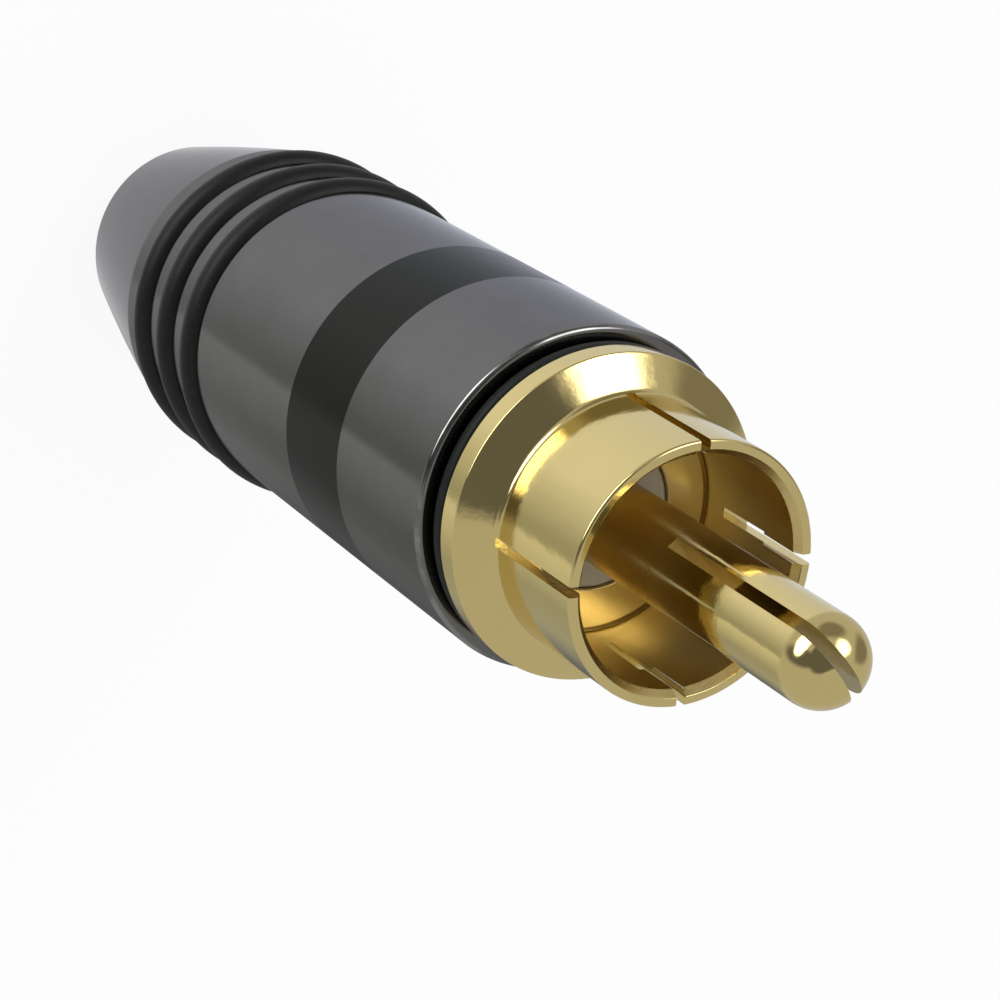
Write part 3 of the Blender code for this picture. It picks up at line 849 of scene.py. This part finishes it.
def surroundings():
    """Plain light from all sides, white where the camera looks, and a studio that the metal mirrors."""
    world = bpy.data.worlds.new("studio")
    world.use_nodes = True
    bpy.context.scene.world = world
    net = Net(world.node_tree)
    x, y, z = net.parts(net.node("ShaderNodeTexCoord", output="Generated"))
    heading = net.math("ARCTAN2", y, x) * (180 / math.pi)
    height = net.math("ARCSINE", z) * (180 / math.pi)

    # The tones at each heading, low round the plug, where its upright sides mirror them.
    dark, shade, grey = (0.15, 0.15, 0.155), (0.26, 0.25, 0.23), (0.42, 0.43, 0.39)
    cool, white, warm = (0.73, 0.75, 0.83), (0.91, 0.91, 0.92), (0.78, 0.77, 0.70)
    walls = [(-172, dark), (-155, cool), (-115, cool), (-30, white), (-2, white), (48, grey), (56, grey),
             (61, warm), (100, grey), (130, grey), (165, dark)]
    ring = net.node("ShaderNodeValToRGB", {"stops": [(angle / 360 + 0.5, tone) for angle, tone in walls]},
                    {0: heading / 360 + 0.5})

    def patch(seen, where, size, colour, soft=0.12):
        """Paint a soft-edged oval over what the metal sees, by its heading and height in degrees."""
        across = (heading - where[0]) / size[0]
        up = (height - where[1]) / size[1]
        off = net.math("SQRT", across * across + up * up)
        return net.blend(net.fade(off, 1 + soft, 1 - soft), seen, (*colour, 1))

    # In order: grey higher up, white straight below, two dim places, the lamp, the dark place round the
    # camera, a dark strip beside it and a window low in front.
    seen = net.blend(net.fade(height, -49, -38), ring, (0.58, 0.575, 0.56, 1))
    seen = patch(seen, (0, -90), (900, 27), (0.82, 0.82, 0.83), 0.25)
    seen = patch(seen, (-60, 3), (27, 19), shade, 0.3)
    seen = patch(seen, (-125, 16), (17, 26), shade, 0.35)
    seen = patch(seen, (-78, 43), (20, 16), (4.2, 4.2, 4.15), 0.35)
    seen = patch(seen, (5, 55), (57, 33), dark)
    seen = patch(seen, (30, 10), (20, 45), dark, 0.3)
    seen = patch(seen, (4, -5), (26, 14), (5.0, 5.0, 4.9), 0.2)
    glossy = net.node("ShaderNodeLightPath", output="Is Glossy Ray")
    camera = net.node("ShaderNodeLightPath", output="Is Camera Ray")
    plain_light = net.blend(camera, (0.85, 0.86, 0.88, 1), (1, 1, 1, 1))
    background = net.node("ShaderNodeBackground", None, {"Color": net.blend(glossy, plain_light, seen)})
    net.node("ShaderNodeOutputWorld", None, {"Surface": background})


def soft_lamp():
    """One soft lamp, which the metal doesn't mirror, because its surroundings already show one."""
    data = bpy.data.lights.new("soft_box", "AREA")
    data.shape = "RECTANGLE"
    data.size, data.size_y = LAMP_SIZE
    data.energy = LAMP_POWER
    lamp = bpy.data.objects.new("soft_box", data)
    level = math.cos(LAMP_HEIGHT)
    aim = Vector((math.cos(LAMP_HEADING) * level, math.sin(LAMP_HEADING) * level, math.sin(LAMP_HEIGHT)))
    lamp.location = LAMP_AIM + aim * LAMP_DISTANCE
    lamp.rotation_euler = aim.to_track_quat("Z", "Y").to_euler()
    lamp.visible_glossy = False
    bpy.context.scene.collection.objects.link(lamp)


def white_floor():
    """A white floor that keeps the plug's soft shadow."""
    material = bpy.data.materials.new("studio_floor")
    material.use_nodes = True
    net = Net(material.node_tree)
    paper = net.node("ShaderNodeBsdfDiffuse", None, {"Color": (FLOOR_TONE, FLOOR_TONE, FLOOR_TONE, 1)})
    glow = net.node("ShaderNodeEmission", None, {"Color": (1, 1, 1, 1), "Strength": 1.0})
    camera = net.node("ShaderNodeLightPath", output="Is Camera Ray")
    surface = net.node("ShaderNodeMixShader", None, {0: camera * FLOOR_GLOW, 1: paper, 2: glow})
    net.node("ShaderNodeOutputMaterial", None, {"Surface": surface})
    corners = [(-FLOOR_HALF, -FLOOR_HALF, 0), (FLOOR_HALF, -FLOOR_HALF, 0), (FLOOR_HALF, FLOOR_HALF, 0),
               (-FLOOR_HALF, FLOOR_HALF, 0)]
    mesh = bpy.data.meshes.new("floor")
    mesh.from_pydata(corners, [], [(0, 1, 2, 3)])
    mesh.materials.append(material)
    floor = new_piece("floor", mesh)
    floor.visible_glossy = False


def camera():
    """A camera at the photograph's viewing angle."""
    data = bpy.data.cameras.new("camera")
    data.lens = CAMERA_LENS
    data.clip_start = 0.01
    made = bpy.data.objects.new("camera", data)
    made.location = CAMERA_PLACE
    made.rotation_euler = Euler([math.radians(a) for a in CAMERA_TURN])
    bpy.context.scene.collection.objects.link(made)
    bpy.context.scene.camera = made
    bpy.context.scene.view_settings.view_transform = "Standard"


camera()
surroundings()
soft_lamp()
white_floor()
lathe = lathe_tree()
thread = thread_tree()
gold = gold_plate()
nickel = black_nickel()
nylon = insulation()

build_barrel(nickel, rubber("rubber", 0.006, 0.25))
build_contact(gold)
build_pin(gold)
seal = rubber("gasket_rubber", 0.016, 0.15)
belongs(turned("gasket_ring", gasket_section(), seal), "gasket", "rubber", "collar_gasket")
belongs(turned("insulator_bush", insulator_section(), nylon), "core", "insulation", "front_insulator")
for node, finish in (("liner", liner_film()), ("rear_insulator", nylon), ("ground_tag", gold)):
    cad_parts[node].data.materials.clear()
    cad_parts[node].data.materials.append(finish)
